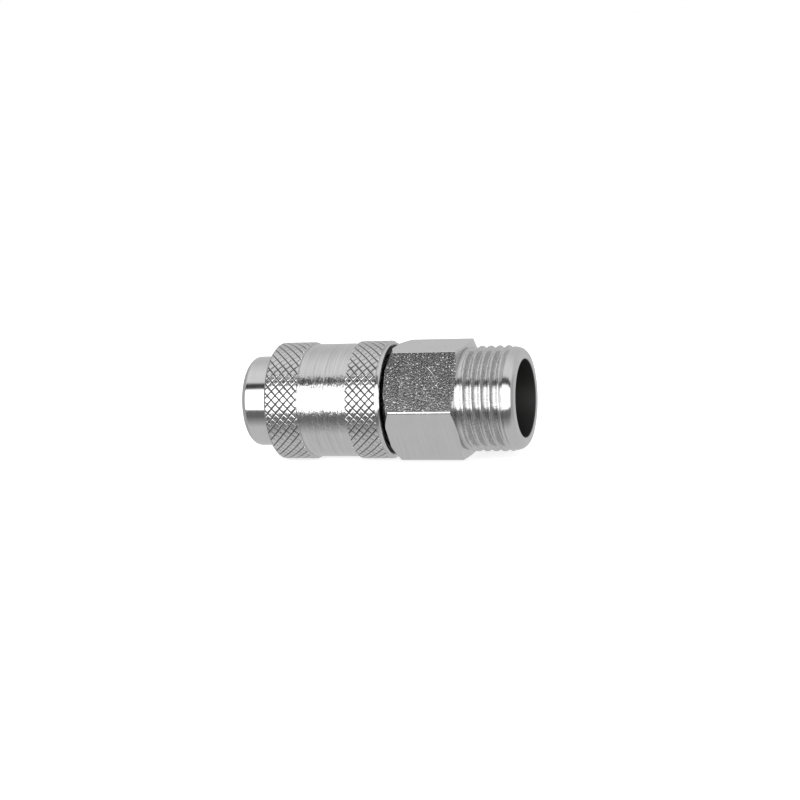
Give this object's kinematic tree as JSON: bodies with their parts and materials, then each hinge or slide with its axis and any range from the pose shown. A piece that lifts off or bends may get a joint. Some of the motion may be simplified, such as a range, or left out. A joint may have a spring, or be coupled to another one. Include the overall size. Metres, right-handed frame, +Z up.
{
  "type": "quick disconnect coupler",
  "caption": "Pneumatic quick disconnect coupler socket with a knurled locking sleeve, ball lock, check valve, spanner hexagon and male pipe thread.",
  "frame": {"origin": "on the coupler's axis, where the male thread meets the hexagon", "axes": "+X along the axis to the threaded end, +Z up with one hex flat facing down and one facing up"},
  "size_m": [0.0571, 0.0254, 0.0237],
  "materials": {
    "plated_steel": "bright plated steel, turned and knurled",
    "spring_steel": "drawn spring wire",
    "ball_steel": "polished hardened steel",
    "phosphated_steel": "dark phosphated spring steel",
    "brass": "machined brass",
    "rubber": "matte nitrile rubber"
  },
  "bodies": {
    "housing": {"socket_body": "plated_steel", "hex_adapter": "plated_steel", "seat_bush": "brass", "plug_seal": "rubber", "bush_o_ring": "rubber", "valve_guide": "brass", "guide_circlip": "phosphated_steel", "sleeve_spring": "spring_steel", "retainer_spring": "spring_steel", "valve_spring": "spring_steel"},
    "sleeve": {"locking_sleeve": "plated_steel", "sleeve_snap_ring": "phosphated_steel"},
    "retainer": {"ball_retainer": "brass"},
    "valve": {"valve_poppet": "brass", "poppet_seal": "rubber"},
    "ball_1": {"locking_ball_1": "ball_steel"},
    "ball_2": {"locking_ball_2": "ball_steel"},
    "ball_3": {"locking_ball_3": "ball_steel"},
    "ball_4": {"locking_ball_4": "ball_steel"},
    "ball_5": {"locking_ball_5": "ball_steel"},
    "ball_6": {"locking_ball_6": "ball_steel"}
  },
  "joints": [
    {"name": "sleeve_slide", "type": "slide", "parent": "housing", "child": "sleeve", "axis": [-1, 0, 0], "range_m": [0, 0.0036], "deforming": ["sleeve_spring"]},
    {"name": "ball_1_slide", "type": "slide", "parent": "housing", "child": "ball_1", "axis": [0, 0, -1], "range_m": [0, 0.001]},
    {"name": "ball_2_slide", "type": "slide", "parent": "housing", "child": "ball_2", "axis": [0, 0.866, -0.5], "range_m": [0, 0.001]},
    {"name": "ball_3_slide", "type": "slide", "parent": "housing", "child": "ball_3", "axis": [0, 0.866, 0.5], "range_m": [0, 0.001]},
    {"name": "ball_4_slide", "type": "slide", "parent": "housing", "child": "ball_4", "axis": [0, 0, 1], "range_m": [0, 0.001]},
    {"name": "ball_5_slide", "type": "slide", "parent": "housing", "child": "ball_5", "axis": [0, -0.866, 0.5], "range_m": [0, 0.001]},
    {"name": "ball_6_slide", "type": "slide", "parent": "housing", "child": "ball_6", "axis": [0, -0.866, -0.5], "range_m": [0, 0.001]},
    {"name": "retainer_slide", "type": "slide", "parent": "housing", "child": "retainer", "axis": [1, 0, 0], "range_m": [0, 0.0036], "deforming": ["retainer_spring"]},
    {"name": "valve_slide", "type": "slide", "parent": "housing", "child": "valve", "axis": [1, 0, 0], "range_m": [0, 0.004], "stiffness_N_per_m": 800, "springref_m": -0.004, "deforming": ["valve_spring"]}
  ],
  "couplings": [
    {"joint": "ball_1_slide", "follows": "sleeve_slide", "ratio": 0.27777},
    {"joint": "ball_2_slide", "follows": "sleeve_slide", "ratio": 0.27777},
    {"joint": "ball_3_slide", "follows": "sleeve_slide", "ratio": 0.27777},
    {"joint": "ball_4_slide", "follows": "sleeve_slide", "ratio": 0.27777},
    {"joint": "ball_5_slide", "follows": "sleeve_slide", "ratio": 0.27777},
    {"joint": "ball_6_slide", "follows": "sleeve_slide", "ratio": 0.27777},
    {"joint": "retainer_slide", "follows": "sleeve_slide", "ratio": 1}
  ]
}
